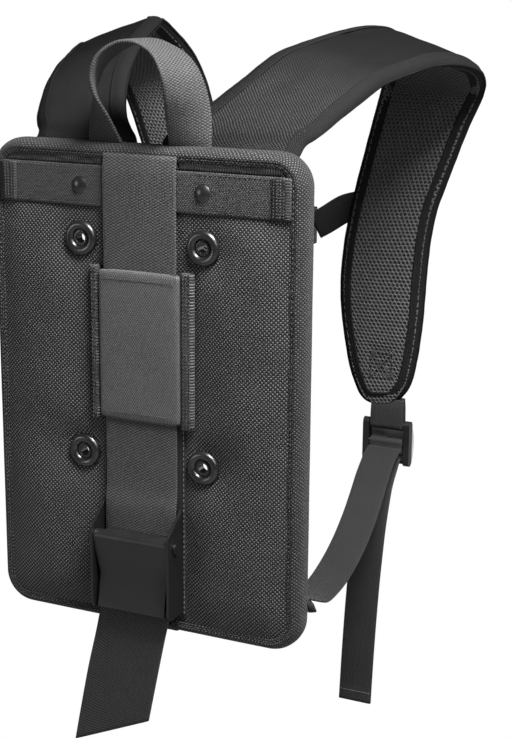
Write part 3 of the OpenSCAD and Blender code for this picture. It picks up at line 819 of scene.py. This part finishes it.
borders, threads = [], []
for name, s in SIDES:
    borders.append(flat_web("border_" + name, sorted((s * 28.2, s * (sleeve_high[0] if s > 0 else 34.5))),
                            (sleeve_low[2] - 1, sleeve_high[2] + 1), FRONT_Y - 2.35, 4.4, BORDER,
                            crown=0.2, step=3.0, wave=0.1))
    for x in ((30.4, 32.6, 34.8) if s > 0 else (30.2, 32.6)):
        heights = np.linspace(sleeve_low[2], sleeve_high[2], 24)
        threads.append(front_stitches("thread", [(s * x, FRONT_Y - 4.75, z) for z in heights], pitch=2.6,
                                      length=2.0))
for z in (sleeve_low[2] + 6, sleeve_high[2] - 6):
    threads.append(front_stitches("thread", [(x, -10.15, z) for x in np.linspace(-24, 24, 14)],
                                  pitch=2.6, length=2.0, radius=0.25))
sleeve_borders = joined("sleeve_borders", borders)
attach(sleeve_borders, "pad")
sleeve_seams = joined("sleeve_seams", threads)
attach(sleeve_seams, "pad")

# The tail comes out under the lever and hangs in front of the pad's lower edge
tail_left = [(-25, -8.7, -146), (-25, -9.3, -154), (-25.4, -12.2, -161.5), (-26.6, -14.8, -169),
             (-29.8, -15.6, -185), (-35.6, -16.2, -210), (-41.8, -15.6, -238), (-47.5, -15, -265)]
tail_right = [(25, -8.7, -146), (25, -9.3, -154), (24.6, -12.2, -161), (23.4, -14.8, -168),
              (20.8, -15.6, -180), (17.2, -16.2, -198), (12.6, -15.6, -219), (8, -15, -240)]
# the tail's webbing is the strap's webbing darkened as painted shade
tail_webbing = webbing("tail_webbing", ladder(tail_left[::-1], tail_right[::-1], 3.0), STRAP_T,
                       SHADED_STRAP, crown=0.1)
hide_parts("strap_tail")
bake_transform(tail_webbing)


# ---- grab loop ----
LOOP_T = 2.5
loop_front = [(14, 5, 119), (17, -1, 129.5), (20, -9, 142), (24, -17.5, 155), (25, -21, 165),
              (23.5, -22, 172), (20, -21.5, 179), (14.5, -20.5, 184), (7, -20, 187.5)]
loop_rear = [(41, 7, 119), (42, 6, 129.5), (41.5, 8, 144), (39, 8.5, 157), (35.5, 8.5, 167),
             (31, 9, 174), (25, 10, 179.5), (17, 10, 184), (8, 10, 187.5)]
crown_front, crown_rear = [(0, -20, 188.5)], [(0, 10, 188.5)]


def whole_loop(half, crown):
    return half + crown + [(-x, y, z) for x, y, z in reversed(half)]


loop_ribbon = ladder(whole_loop(loop_rear, crown_rear), whole_loop(loop_front, crown_front), 2.5)
grab = webbing("grab_webbing", loop_ribbon, LOOP_T, STRAP, lift=LOOP_T / 2, crown=0.1)
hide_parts("grab_handle")
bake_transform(grab)


# ---- shoulder straps ----
NECK = [(9.5, 7, 118), (10, 6, 129.5), (16, 9, 136), (23, 16, 143), (32, 30, 154), (42, 52, 168),
        (50.5, 76, 181), (60, 100, 188), (73, 136, 195), (83, 160, 196), (85, 184, 189),
        (79, 206, 175), (71, 219, 158), (66, 222, 140), (62, 222, 124), (57, 222, 104),
        (52, 222, 84), (47, 222, 62), (43, 222, 38), (41, 222, 12), (42, 222, -10),
        (45, 222, -30), (49, 222, -50), (54, 222, -64), (59, 222, -73), (67, 222, -77.5)]
SHOULDER = [(91, 16, 118), (92, 27, 128), (96, 31, 132), (101, 38, 138), (106, 49, 146), (113, 66, 156),
            (119, 86, 165), (126, 108, 170), (136, 136, 175), (146, 160, 174.5), (150.5, 184, 169.5),
            (147.5, 205, 161), (143, 218, 152), (138, 222, 140), (132, 222, 126), (125, 222, 107),
            (118, 222, 87), (111, 222, 66), (107, 222, 42), (105, 222, 14), (104, 222, -8),
            (102, 222, -30), (99, 222, -50), (96, 222, -61), (91, 222, -69.5), (84, 222, -75.5)]
LEFT_SHIFT = {6: (-2, 1), 7: (-5, 2), 8: (-8, 3), 9: (-8, 3), 10: (-7, 2), 11: (-4, 1)}
THIN_RUN = 60.0                    # run over which the strap grows to its full thickness


def thinned(run):
    """Share of its full thickness that the strap has, by distance from the pad."""
    return np.clip(0.22 + 0.78 * run / THIN_RUN, 0, 1)


def outer_height(edge, thin):
    """Height of the outer face over the CAD face, by distance from the strap's edge."""
    return thin * (-2.3 + 2.5 * (1 - np.exp(-np.maximum(edge, 0) / 9.0)))


def inner_height(edge, thin):
    return thin * (-7.6 - 2.4 * (1 - np.exp(-np.maximum(edge, 0) / 9.0)))


def neck_of(side):
    """The neck edge; on the left the strap's crest lies a little nearer to the neck."""
    shift = {} if side > 0 else LEFT_SHIFT
    return [(x + shift.get(i, (0, 0))[0], y, z + shift.get(i, (0, 0))[1])
            for i, (x, y, z) in enumerate(NECK)]


def strap_grid(side, step_along, step_across, inset):
    """Rows of points across the strap, with each point's normal, edge distance and cloth UV."""
    left, right, normal, run = ladder(neck_of(side), SHOULDER, step_along)
    width = np.linalg.norm(right - left, axis=1)
    columns = round(width.max() / step_across) + 1
    s = np.linspace(0, 1, columns)
    across = unit(right - left)
    reach = np.clip(width - 2 * inset, 4, None)
    start = (left + right) / 2 - across * reach[:, None] / 2
    points = start[:, None] + across[:, None] * (s[None, :, None] * reach[:, None, None])
    edge = np.minimum(s[None], 1 - s[None]) * reach[:, None] + inset
    to_end = run[-1] - run + inset
    edge = np.minimum(edge, to_end[:, None])
    u = (s[None] - 0.5) * reach[:, None]
    v = np.repeat(run[:, None], columns, 1)
    thin = thinned(run)
    return {"points": points, "normal": np.repeat(normal[:, None], columns, 1), "edge": edge,
            "uv": np.stack([u, v], -1), "thin": np.repeat(thin[:, None], columns, 1),
            "quads": grid_quads(len(run), columns)}


def at_height(grid, height):
    return (grid["points"] + grid["normal"] * height[..., None]).reshape(-1, 3)


def dents(uv, places):
    """Soft hollows in the cloth, each (u, v, depth, length, breadth, turn in degrees)."""
    total = np.zeros(uv.shape[:2])
    for u, v, depth, length, breadth, turn in places:
        a = math.radians(turn)
        du, dv = uv[..., 0] - u, uv[..., 1] - v
        p, q = du * math.cos(a) + dv * math.sin(a), dv * math.cos(a) - du * math.sin(a)
        total -= depth * np.exp(-(p / length) ** 2 - (q / breadth) ** 2)
    return total


# The box and cross stitched through the lower end: its middle, and its lines from there
BOX_AT = (76, 211.9, -46)
BOX_LINES = [((-8, 0, -9), (8, 0, -9)), ((8, 0, -9), (8, 0, 9)), ((8, 0, 9), (-8, 0, 9)),
             ((-8, 0, 9), (-8, 0, -9)), ((-8, 0, -9), (8, 0, 9)), ((-8, 0, 9), (8, 0, -9))]
CREASES = [(-22, 150, 0.9, 9, 4, 35), (22, 205, 1.0, 9, 4, -30), (16, 120, 0.7, 14, 5, 60),
           (-14, 60, 0.8, 16, 6, 80), (10, 240, 0.8, 18, 6, 75), (-20, 300, 0.6, 8, 5, 20)]

for side_name, s in SIDES:
    body = "shoulder_" + side_name
    grid = strap_grid(s, 4.0, 3.6, 3.0)
    uv, edge, thin = grid["uv"], grid["edge"], grid["thin"]
    fabric = 0.35 * wander(uv[..., 0] * 2.5, uv[..., 1] * 2.0, s) * np.clip(edge / 14, 0, 1)
    outer = outer_height(edge, thin) + (fabric + dents(uv, CREASES)) * thin
    shell_under = outer_height(edge, thin) - 1.6 * thin - 0.4
    shell = smoother(slab("shoulder_shell_" + side_name, at_height(grid, outer),
                          at_height(grid, shell_under), grid["quads"], uv.reshape(-1, 2), SHELL,
                          side=s))
    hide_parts("shoulder_cover_" + side_name)
    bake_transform(shell)

    filling = slab("shoulder_filling_" + side_name,
                   at_height(grid, outer_height(edge, thin) - 2.2 * thin - 0.5),
                   at_height(grid, inner_height(edge, thin) + 2.2 * thin + 0.3), grid["quads"],
                   uv.reshape(-1, 2), FOAM, side=s)
    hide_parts("shoulder_foam_" + side_name)
    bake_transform(filling)

    fine = strap_grid(s, 0.9, 0.9, 3.0)
    uv, edge, thin = fine["uv"], fine["edge"], fine["thin"]
    cells = honeycomb(uv[..., 0], uv[..., 1], MESH_PITCH, np.cos, np.add, np.multiply)
    fold = 0.4 * wander(uv[..., 0] * 2.0, uv[..., 1] * 1.6, 1.7 + s) * np.clip(edge / 14, 0, 1)
    inner = inner_height(edge, thin) + fold * thin + 0.55 * np.clip(cells * 1.3, 0, 1) * thin
    centre = fine["points"].reshape(-1, 3) - [BOX_AT[0], 0, BOX_AT[2]]
    drawn = np.exp(-np.maximum(np.abs(centre[:, 0]) - 6, np.abs(centre[:, 2]) - 7).clip(0) ** 2 / 40)
    inner = inner + 1.3 * drawn.reshape(inner.shape) * (fine["points"][..., 2] < 0)
    lining = slab("shoulder_lining_" + side_name, at_height(fine, inner),
                  at_height(fine, inner_height(edge, thin) + 1.5 * thin + 0.3), fine["quads"],
                  uv.reshape(-1, 2), SPACER, side=s)
    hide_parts("shoulder_liner_" + side_name)
    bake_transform(lining)

    # The binding runs down the neck edge, round the lower end and up the shoulder edge
    neck, shoulder = np.array(neck_of(s), float), np.array(SHOULDER, float)
    mid = (neck + shoulder) / 2
    knot_normal = unit(np.cross(shoulder - neck, np.gradient(mid, axis=0)))
    knot_thin = thinned(run_along(mid))[:, None]
    way = np.vstack([np.hstack([neck, knot_normal, knot_thin]),
                     np.hstack([shoulder, knot_normal, knot_thin])[::-1]])
    rows, run = spline(way, 3.0)
    place, up, slim = rows[:, :3], unit(rows[:, 3:6]), np.clip(rows[:, 6], 0, 1)
    ahead = unit(np.gradient(place, axis=0))
    out = unit(np.cross(up, ahead))
    # (outward from the edge, height over the CAD face) round the binding's section
    lip = [(-8.4, -0.35), (-8.0, 0.55), (-6.9, 0.75), (-6.0, 0.3), (-5.0, 0.35), (-3.4, 0.2), (-1.6, -0.3),
           (0.1, -1.4), (1.2, -2.9), (1.6, -4.6)]
    ring = lip + [(d, -9.7 - y) for d, y in reversed(lip)]
    ring += [(-6.5, -9.2), (-2.5, -8.0), (-0.6, -6.0), (-0.6, -3.7), (-2.5, -1.7), (-6.5, -0.6)]
    ring = np.array(ring)
    shake = 0.22 * np.sin(run * 0.35 + s) * np.sin(run * 0.083) + 0.15 * np.sin(run * 0.9)
    rings = []
    for i in range(len(place)):
        d = ring[:, 0] - 1.0 + shake[i] * 0.5
        inward = np.clip(-ring[:, 0], 0, None)
        sink = outer_height(inward, 1) - outer_height(0.0, 1)
        height = np.where(ring[:, 1] > -4.85, ring[:, 1] - 2.0 + sink, ring[:, 1] + 1.9 - sink * 0.9)
        height = -4.85 * slim[i] + (height + 4.85) * slim[i] + shake[i] * 0.2 * slim[i]
        rings.append(place[i] + out[i] * d[:, None] + up[i] * height[:, None])
    edging = smoother(loft("shoulder_edging_" + side_name, rings, run_round(ring), run, EDGING,
                           side=s))
    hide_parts("shoulder_binding_" + side_name)
    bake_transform(edging)

    rows_in = place - out * 7.3
    lines = []
    for height, sign in ((-1.2, 1), (-8.75, -1)):
        path = rows_in + up * (height * slim)[:, None]
        lines.append(stitches("line", path[4:-4], up[4:-4] * sign, THREAD, "binding_tape", side=s))
    for first, last in BOX_LINES:
        first, last = np.add(BOX_AT, first), np.add(BOX_AT, last)
        lines.append(front_stitches("box", [first + (last - first) * t for t in np.linspace(0, 1, 7)],
                                    slot="binding_tape", pitch=2.4, length=2.0, radius=0.42, side=s))
    seams = joined("shoulder_seams_" + side_name, lines)
    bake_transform(seams)


# ---- adjusting webbing ----
WEB_W, WEB_T = 25.0, 1.5
ADJUST_X = 80.0
LOOP_BAR = (216.5, -92.0)
WRAP_BAR = (216.5, -106.0)


def half_turn(centre, radius, start, end, x, count=9):
    """Points round a bar, with angles from +Y towards +Z in degrees."""
    return [(x, centre[0] + radius * math.cos(a), centre[1] + radius * math.sin(a))
            for a in np.radians(np.linspace(start, end, count))]


def tape(name, route, side, step=2.5, swell=np.ones_like):
    """Narrow webbing along a route, with its width across the pad."""
    ribbon = along_z(route, WEB_W / 2, step)
    return webbing(name, ribbon, WEB_T, NARROW, side=side, swell=swell)


LOWER = [(102, 16.6, -150), (102.5, 24, -152.5), (102, 36, -153.5), (101, 56, -152.5), (98.5, 82, -149),
         (96, 106, -143), (93, 130, -134.5), (89.5, 152, -126), (86, 172, -118), (82.5, 193, -112),
         (80, 211, -109)]
TAIL = [(80, 211.6, -115.6), (80, 206.5, -121.5), (80, 197, -132), (80.5, 190, -143),
        (80.7, 183, -160), (80.8, 178, -178), (80.5, 174, -200), (80.3, 170, -228), (80, 167, -258),
        (79.4, 165.5, -290)]
HEM = 8.0

for side_name, s in SIDES:
    body = "shoulder_" + side_name
    route = [(ADJUST_X, 217.6, -72), (ADJUST_X, 219.2, -80), *half_turn(LOOP_BAR, 3.35, 0, -180, ADJUST_X),
             (ADJUST_X, 214, -80), (ADJUST_X, 215.6, -73)]
    loop = tape("adjuster_webbing_" + side_name, route, s, step=1.2)
    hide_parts("adjuster_loop_" + side_name)
    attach(loop, body)

    route = [(ADJUST_X, 212.2, -113), *half_turn(WRAP_BAR, 3.1, 200, -110, ADJUST_X, 13),
             (ADJUST_X, 213.4, -112.4)]
    wrap = tape("bar_webbing_" + side_name, route, s, step=1.2)
    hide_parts("bar_wrap_" + side_name)
    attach(wrap, "adjuster_" + side_name)

    lower = tape("lower_webbing_" + side_name, LOWER, s)
    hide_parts("lower_web_" + side_name)
    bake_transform(lower)

    way_down = TAIL if s > 0 else TAIL[:-1] + [(79.8, 166.7, -264)]
    hanging = tape("tail_end_" + side_name, way_down, s,
                   swell=lambda run: np.where(run > run[-1] - HEM, 1.9, 1.0))
    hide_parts("adjuster_tail_" + side_name)
    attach(hanging, "adjuster_tail_" + side_name)
    rows, _ = spline(np.array(way_down, float), 1.0)
    end = rows[-9]
    facing = np.cross([1, 0, 0], unit(rows[-1] - end))
    span_x = np.linspace(-WEB_W / 2 + 2, WEB_W / 2 - 2, 8)
    hem_lines = []
    for sign in (1, -1):
        path = np.array([end + [dx, 0, 0] + facing * sign * 1.5 for dx in span_x])
        hem_lines.append(stitches("hem", path, np.tile(facing * sign, (8, 1)), PALE_THREAD, pitch=2.4,
                                  length=1.8, radius=0.25, side=s))
    hem_seam = joined("hem_seam_" + side_name, hem_lines)
    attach(hem_seam, "adjuster_tail_" + side_name)

    # The lower webbing is folded into a corner at the pad's back
    tab_low, tab_high = corners("corner_tab_right")
    flap = [(tab_low[0], -158), (106, -158.5), (tab_high[0] - 2, -157.5), (108, -153), (98, -143.5),
            (tab_low[0], -142)]
    n = len(flap)
    points = [(s * x, y, z) for y in (tab_low[1] + 0.1, tab_high[1] - 0.1) for x, z in flap]
    faces = [tuple(range(n)), tuple(range(2 * n - 1, n - 1, -1)),
             *[(i, (i + 1) % n, (i + 1) % n + n, i + n) for i in range(n)]]
    tab = mesh_object("corner_fold_" + side_name, points, faces,
                      [flap[k % n] for face in faces for k in face], NARROW)
    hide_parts("corner_tab_" + side_name)
    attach(tab, "pad")


# ---- sternum strap ----
STERNUM_Y, STERNUM_W = 224.0, 20.0
STERNUM_SEWN = 34.0                # length that lies doubled on the shoulder strap
for side_name, s in SIDES:
    x0 = 16.4 if s > 0 else 26.4
    middle = np.array([(x, STERNUM_Y, z) for x, z in (
        (x0, 48), (25 if s > 0 else 32, 53), (39, 62), (48, 65), (58, 66.5), (82, 68))], float)
    way = unit(np.gradient(middle, axis=0))
    beside = np.cross(way, [0, 1, 0]) * STERNUM_W / 2
    web = webbing("sternum_webbing_" + side_name, ladder(middle + beside, middle - beside, 2.5),
                  WEB_T, NARROW, side=s,
                  swell=lambda run: np.where(run > run[-1] - STERNUM_SEWN, 1.25, 1.0))
    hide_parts("sternum_web_" + side_name)
    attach(web, "shoulder_" + side_name)


# ---- finishes of the CAD's hard parts ----
def finish_node(name, material, bevel=0.0):
    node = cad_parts[name]
    if not node.material_slots:
        node.data.materials.append(material)
    for slot in node.material_slots:
        slot.material = material
    if bevel:
        assign(node.modifiers.new("weld", "WELD"), merge_threshold=2e-6)
        assign(node.modifiers.new("bevel", "BEVEL"), width=bevel * MM, segments=2,
               limit_method="ANGLE", angle_limit=math.radians(40), use_clamp_overlap=True)
        assign(node.modifiers.new("even", "WEIGHTED_NORMAL"), mode="FACE_AREA", weight=80)


for name, material, bevel in (
        ("stiffener_plate", BOARD, 0), ("eyelet_rings", GLOSS, 0.1), ("eyelet_washers", GLOSS, 0.15),
        ("snap_caps", GLOSS, 0.15), ("buckle_frame", SATIN, 0.35), ("buckle_pin", SATIN, 0.3),
        ("buckle_spring", STEEL, 0), ("cam_lever", LEVER, 0.3), ("sternum_socket", PLASTIC, 0.3),
        ("sternum_plug", PLASTIC, 0.3), ("latch_upper", PLASTIC, 0.3), ("latch_lower", PLASTIC, 0.3)):
    finish_node(name, material, bevel)
for side_name, _ in SIDES:
    finish_node("adjuster_frame_" + side_name, PLASTIC, 0.4)
    # the covers take the painted highlight grey
    finish_node("adjuster_cover_" + side_name, HIGHLIGHT_GREY, 0.4)
    finish_node("adjuster_rivet_" + side_name, PLASTIC, 0.3)


# ---- stage and light ----
AMBIENT = 0.06                     # what the studio's walls give; the camera sees plain white
FLOOR_Z = -0.292
floor_mesh = bpy.data.meshes.new("floor")
floor_mesh.from_pydata([(x, y, FLOOR_Z) for x, y in ((-8, -8), (8, -8), (8, 8), (-8, 8))], [],
                       [(0, 1, 2, 3)])
floor = bpy.data.objects.new("floor", floor_mesh)
link(floor)
paper = Finish("paper", Base_Color=(0.25, 0.25, 0.25, 1), Roughness=0.9)
glow = paper.node("ShaderNodeEmission")
blend_in = paper.node("ShaderNodeMixShader")
paper.feed(blend_in.inputs[0], paper.node("ShaderNodeLightPath").outputs["Is Camera Ray"])
paper.feed(blend_in.inputs[1], paper.shader.outputs[0])
paper.feed(blend_in.inputs[2], glow.outputs[0])
paper.feed(paper.tree.nodes["Material Output"].inputs["Surface"], blend_in.outputs[0])
floor_mesh.materials.append(paper.material)

world = bpy.data.worlds.new("studio")
bpy.context.scene.world = world
world.use_nodes = True
sky = world.node_tree
seen = sky.nodes.new("ShaderNodeLightPath")
level_of = sky.nodes.new("ShaderNodeMapRange")
level_of.inputs["To Min"].default_value = AMBIENT
level_of.inputs["To Max"].default_value = 1.0
sky.links.new(seen.outputs["Is Camera Ray"], level_of.inputs["Value"])
sky.links.new(level_of.outputs[0], sky.nodes["Background"].inputs["Strength"])
sky.nodes["Background"].inputs["Color"].default_value = (1, 1, 1, 1)


def softbox(name, right, up, near, size, watts):
    """Area light placed from the camera's axes, aimed at the object's middle."""
    place = TARGET + cam_x * right + cam_y * up + toward * near
    lamp = assign(bpy.data.lights.new(name, "AREA"), size=size, energy=watts)
    link(assign(bpy.data.objects.new(name, lamp), location=place,
                rotation_euler=(TARGET - place).to_track_quat("-Z", "Y").to_euler()))


softbox("key", 0.20, 0.62, 0.46, 0.32, 25)
softbox("front", 0.8, 0.5, 1.1, 0.5, 7)
softbox("fill", -1.4, 0.1, 0.5, 0.6, 4)
softbox("rim", 1.1, 0.2, -0.5, 0.6, 3)
softbox("behind", -0.3, 0.1, -1.7, 0.9, 16)
